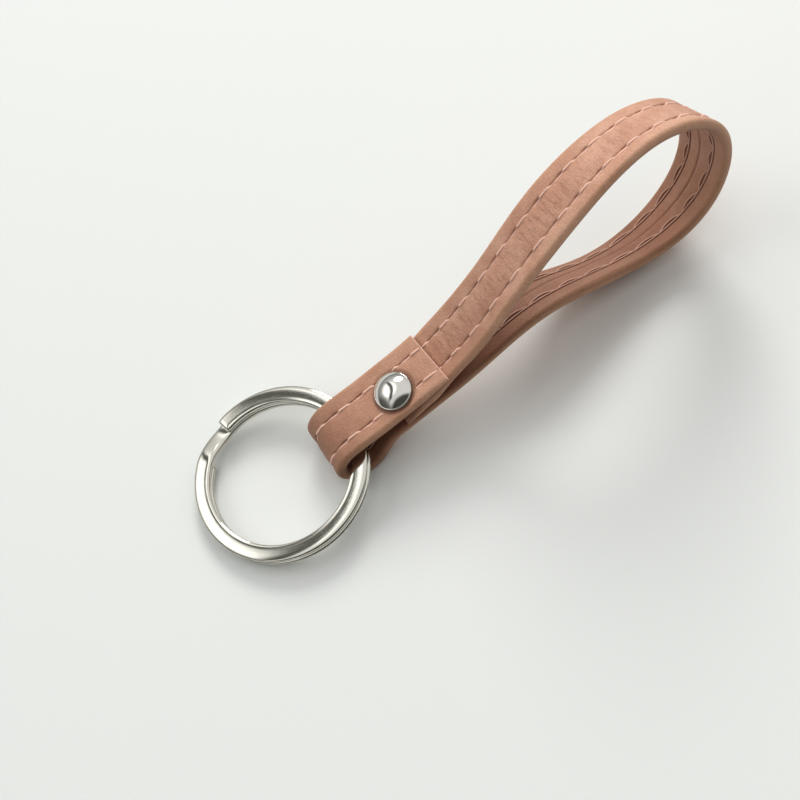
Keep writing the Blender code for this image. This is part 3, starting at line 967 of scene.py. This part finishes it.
def turned_object(name, profile, sides, place, finish):
    """A closed piece turned about Z; the profile runs from the axis round to the axis."""
    angle = 2 * math.pi * np.arange(sides) / sides
    points, faces, marks, painted_rim_shade, index = [], [], [], [], []
    run = 0.0
    before = profile[0]
    for radius, height in profile:
        run += math.hypot(radius - before[0], height - before[1])
        before = (radius, height)
        if radius == 0:
            index.append([len(points)] * sides)
            points.append((0, 0, height))
            marks.append((0, run / MM, 0))
            painted_rim_shade.append(0)
            continue
        index.append(list(range(len(points), len(points) + sides)))
        for a in angle:
            points.append((radius * math.cos(a), radius * math.sin(a), height))
            marks.append((radius * math.cos(a) / MM, radius * math.sin(a) / MM, height / MM))
            # Painted shade over the cap's outermost rim, a dark reflection painted into the colour
            painted_rim_shade.append(0.75 * smooth_step((radius - CAP_RADIUS) / CAP_RIM_SHADE_SPREAD + 1.4))
    for a, b in zip(index, index[1:]):
        for i in range(sides):
            j = (i + 1) % sides
            corners = tuple(dict.fromkeys((a[i], a[j], b[j], b[i])))
            if len(corners) > 2:
                faces.append(corners)
    return mesh_object(name, points, faces, place, finish, {"strip": marks, "painted_rim_shade": painted_rim_shade})


def cap_profile(height):
    """A pressed cap: hollow foot, rounded side wall, a fine crease and a shallow dome."""
    foot = -CAP_SEAT - CAP_FOOT
    shoulder = foot + CAP_WALL_SHARE * (height - foot)
    profile = [(0, foot + CAP_HOLLOW), (CAP_RADIUS - CAP_LIP, foot + CAP_HOLLOW)]
    middle = (foot + shoulder) / 2
    for angle in np.linspace(-math.pi / 2, 0.40 * math.pi, 17):
        x = CAP_RADIUS - CAP_WALL_BULGE * (1 - math.cos(angle))
        profile.append((x, middle + (shoulder - foot) / 2 * math.sin(angle)))
    dome, base = CAP_RADIUS - CAP_DOME_INSET, shoulder - CAP_CREASE
    for share in np.linspace(1, 0, 41)[:-1]:
        profile.append((dome * share, base + (height - base) * (1 - share**2.1)))
    profile.append((0, height))
    return profile


def make_caps(plated):
    """The two caps of the rivet."""
    seat = STACK_TOP + CAP_SEAT
    upper = STACK_PLACE @ Matrix.Translation((0, RIVET_Y, seat))
    lower = STACK_PLACE @ Matrix.Translation((0, RIVET_Y, -seat)) @ Matrix.Rotation(math.pi, 4, "X")
    return (
        turned_object("rivet_dome", cap_profile(CAP_HEIGHT - CAP_DOME_TRIM), 96, upper, plated),
        turned_object("rivet_back_dome", cap_profile(BACK_HEIGHT), 96, lower, plated),
    )


def wire_section(steps):
    """Rolled flat wire, as radial and axial offsets: round edges, crowned faces, thinner outside."""
    angle = 2 * math.pi * np.arange(steps) / steps
    cos, sin = np.cos(angle), np.sin(angle)
    share = np.sign(cos) * np.abs(cos) ** (2 / 3.0)
    axial = WIRE_THICKNESS / 2 * np.sign(sin) * np.abs(sin) ** (2 / 2.5)
    return np.stack([WIRE_WIDTH / 2 * share, axial * (1 - WIRE_WEDGE * share) * 0.96], -1)


def coil_height(turn):
    """Height of the wire's centre after an angle of winding: one step down between the ends."""
    start = 2 * math.pi - END_STAGGER
    return COIL_PITCH * (0.5 - smooth_step((turn - start) / END_STAGGER))


def ring_centre():
    """How far the ring's centre lies behind the hinge."""
    reach = EDGE_FLAT + RING_OFFSET
    inner = WIRE_RADIUS - WIRE_WIDTH / 2
    sag = inner - math.sqrt(inner**2 - reach**2)
    return sag / 2 - WIRE_RADIUS


def make_ring(plated):
    """The split ring's wire, wound nearly two turns."""
    total = 4 * math.pi - END_STAGGER
    section = wire_section(48)
    turn = total * np.arange(WIRE_STEPS + 1) / WIRE_STEPS
    angle = UPPER_END_ANGLE - turn
    from_end = np.minimum(turn, total - turn) * WIRE_RADIUS
    taper = 1 - WIRE_END_SHARE * (1 - smooth_step(from_end / WIRE_END_REACH))
    reach = WIRE_RADIUS + section[None, :, 0] * taper[:, None]
    x = ring_centre() + reach * np.cos(angle)[:, None]
    y = RING_OFFSET + reach * np.sin(angle)[:, None]
    z = coil_height(turn)[:, None] + section[None, :, 1] * taper[:, None]
    points = np.stack([x, y, z], -1).reshape(-1, 3)
    runs = np.repeat((turn * WIRE_RADIUS)[:, None], len(section), axis=1)
    mark = np.stack([runs, 0 * runs + section[None, :, 0], 0 * runs + section[None, :, 1]], -1)
    faces = grid_faces(WIRE_STEPS + 1, len(section))
    return mesh_object(
        "ring_wire", points, faces, RING_PLACE, plated, {"strip": mark.reshape(-1, 3) / MM}
    )


def make_floor():
    """A plain pale floor that keeps the keychain's shadow."""
    bpy.ops.mesh.primitive_plane_add(size=FLOOR_SIZE, location=(0, 0, 0))
    floor = bpy.context.object
    floor.name = "floor"
    made, _, _ = start_material(
        "pale_floor", {"Base Color": linear("#E9EBE8"), "Roughness": 0.7}
    )
    floor.data.materials.append(made)


def add_lamp(name, place, size, power, colour):
    """A soft round lamp aimed at the keychain."""
    lamp = bpy.data.lights.new(name, "AREA")
    lamp.shape = "DISK"
    lamp.size = size
    lamp.energy = power
    lamp.color = linear(colour)[:3]
    obj = bpy.data.objects.new(name, lamp)
    obj.location = place
    aim = -obj.location
    obj.rotation_euler = aim.to_track_quat("-Z", "Y").to_euler()
    bpy.context.collection.objects.link(obj)


def light_scene():
    """A room bright overhead beside a dark beam, darker low down, in front and left, and a window."""
    world = bpy.data.worlds.new("pale_room")
    bpy.context.scene.world = world
    world.use_nodes = True
    tree = world.node_tree
    back = tree.nodes["Background"]
    toward = add_node(tree, "ShaderNodeTexCoord")
    axes = add_node(tree, "ShaderNodeSeparateXYZ", (), {0: toward.outputs["Generated"]})
    across = add_node(
        tree,
        "ShaderNodeVectorMath",
        {"operation": "DOT_PRODUCT", 1: BEAM_CENTRE},
        {0: toward.outputs["Generated"]},
    )
    wave = add_node(
        tree,
        "ShaderNodeTexNoise",
        {"Scale": 3.2, "Detail": 2.0},
        {"Vector": toward.outputs["Generated"]},
    )
    bent = add_node(
        tree,
        "ShaderNodeMath",
        {"operation": "MULTIPLY_ADD", 1: 0.08},
        {0: wave.outputs[0], 2: across.outputs["Value"]},
    )
    aside = add_node(
        tree, "ShaderNodeMath", {"operation": "SUBTRACT", 1: BEAM_COSINE}, {0: bent.outputs[0]}
    )
    width = add_node(tree, "ShaderNodeMath", {"operation": "ABSOLUTE"}, {0: aside.outputs[0]})
    beside = add_node(
        tree,
        "ShaderNodeMapRange",
        {"interpolation_type": "SMOOTHSTEP", "From Min": 0.03, "From Max": 0.10, "To Min": 0.05},
        {"Value": width.outputs[0]},
    )
    rightward = add_node(
        tree,
        "ShaderNodeVectorMath",
        {"operation": "DOT_PRODUCT", 1: BEAM_RIGHT},
        {0: toward.outputs["Generated"]},
    )
    beyond = add_node(
        tree,
        "ShaderNodeMapRange",
        {
            "interpolation_type": "SMOOTHSTEP",
            "From Min": -0.76,
            "From Max": -0.64,
            "To Min": 1.0,
            "To Max": 0.0,
        },
        {"Value": rightward.outputs["Value"]},
    )
    beam = add_node(
        tree,
        "ShaderNodeMath",
        {"operation": "MAXIMUM"},
        {0: beside.outputs[0], 1: beyond.outputs[0]},
    )
    overhead = add_node(
        tree,
        "ShaderNodeMapRange",
        {"interpolation_type": "SMOOTHSTEP", "From Min": 0.05, "From Max": 0.70, "To Min": 0.35},
        {"Value": axes.outputs["Z"]},
    )
    front = add_node(
        tree,
        "ShaderNodeMapRange",
        {"interpolation_type": "SMOOTHSTEP", "From Min": -0.54, "From Max": -0.36, "To Min": 0.06},
        {"Value": axes.outputs["Y"]},
    )
    left = add_node(
        tree,
        "ShaderNodeMapRange",
        {"interpolation_type": "SMOOTHSTEP", "From Min": -0.96, "From Max": -0.74, "To Min": 0.25},
        {"Value": axes.outputs["X"]},
    )
    level = beam
    for part in (overhead, front, left):
        level = add_node(
            tree,
            "ShaderNodeMath",
            {"operation": "MULTIPLY"},
            {0: level.outputs[0], 1: part.outputs[0]},
        )
    shade = add_node(
        tree,
        "ShaderNodeMix",
        {"data_type": "RGBA", 6: linear("#2E2F28"), 7: linear("#FFFFFF")},
        {0: level.outputs[0]},
    )
    tree.links.new(shade.outputs[2], back.inputs["Color"])
    ceiling = add_node(
        tree,
        "ShaderNodeVectorMath",
        {"operation": "DOT_PRODUCT", 1: CEILING_PATCH},
        {0: toward.outputs["Generated"]},
    )
    strength = add_node(
        tree,
        "ShaderNodeMapRange",
        {
            "interpolation_type": "SMOOTHSTEP",
            "From Min": 0.78,
            "From Max": 0.92,
            "To Min": 0.93,
            "To Max": 1.9,
        },
        {"Value": ceiling.outputs["Value"]},
    )
    tree.links.new(strength.outputs[0], back.inputs["Strength"])
    add_lamp("back_window", WINDOW_PLACE, WINDOW_SIZE, WINDOW_POWER, "#FFFEFC")


def make_camera():
    """The photograph's view: from the front and well above, a little to the left."""
    data = bpy.data.cameras.new("camera")
    data.lens = CAMERA_LENS
    data.sensor_width = 36.0
    data.clip_start = 0.01
    camera = bpy.data.objects.new("camera", data)
    turn = Matrix((CAMERA_RIGHT, CAMERA_UP, CAMERA_BACK)).transposed().to_4x4()
    place = Matrix.Translation(CAMERA_PLACE)
    camera.matrix_world = STACK_PLACE @ place @ turn
    bpy.context.collection.objects.link(camera)
    bpy.context.scene.camera = camera


def build():
    leather = turned_leather()
    thread = twisted_thread("twisted_polyester_thread", "#E4B29B", "#F5CDBA")
    # A darker copy of the same thread for the chain on the inner face: painted shade
    painted_shade_thread = twisted_thread("twisted_polyester_thread_painted_shade", "#B88A74", "#D2A48F")
    ring_plate = plated_steel(
        "nickel_plated_drawn_steel", "#DAD8CF", "#C9C6BA", 6.0, 0.12, 0.25, (0.05, 0.14)
    )
    cap_plate = plated_steel(
        "nickel_plated_pressed_steel", "#DBD9D3", "#CBC8C0", 0.8, 0.8, 0.05, (0.06, 0.14)
    )
    core = plated_steel("plain_drawn_steel", "#B9B7B2", "#A5A29B", 0.3, 0.3, 0.2, (0.28, 0.42))

    strip = Strip()
    strap = make_strap(strip, leather)
    rows = (("far", ROW, FAR_COUNT), ("near", -ROW, NEAR_COUNT))
    pieces = [(strap, "leather", "strap")]
    for place, row, counts in rows:
        stitches = make_needle_row(strip, f"needle_stitches_{place}", row, counts, thread)
        pieces.append((stitches, "thread", f"needle_thread_{place}"))
        chain = make_chain_row(strip, f"chain_stitches_{place}", row, counts, painted_shade_thread)
        pieces.append((chain, "thread", f"looper_thread_{place}"))
    dome, back_dome = make_caps(cap_plate)
    pieces.append((dome, "plated_steel", "rivet_cap"))
    pieces.append((back_dome, "plated_steel", "rivet_back_cap"))
    for piece, slot, node in pieces:
        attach(piece, "strap_body")
        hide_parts(node)
    ring = make_ring(ring_plate)
    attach(ring, "ring")
    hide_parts("split_ring")
    for node in ("rivet_post", "rivet_socket"):
        frame["nodes"][node].material_slots[0].material = core

    make_floor()
    light_scene()
    make_camera()
    bpy.context.scene.view_settings.view_transform = "Standard"


build()
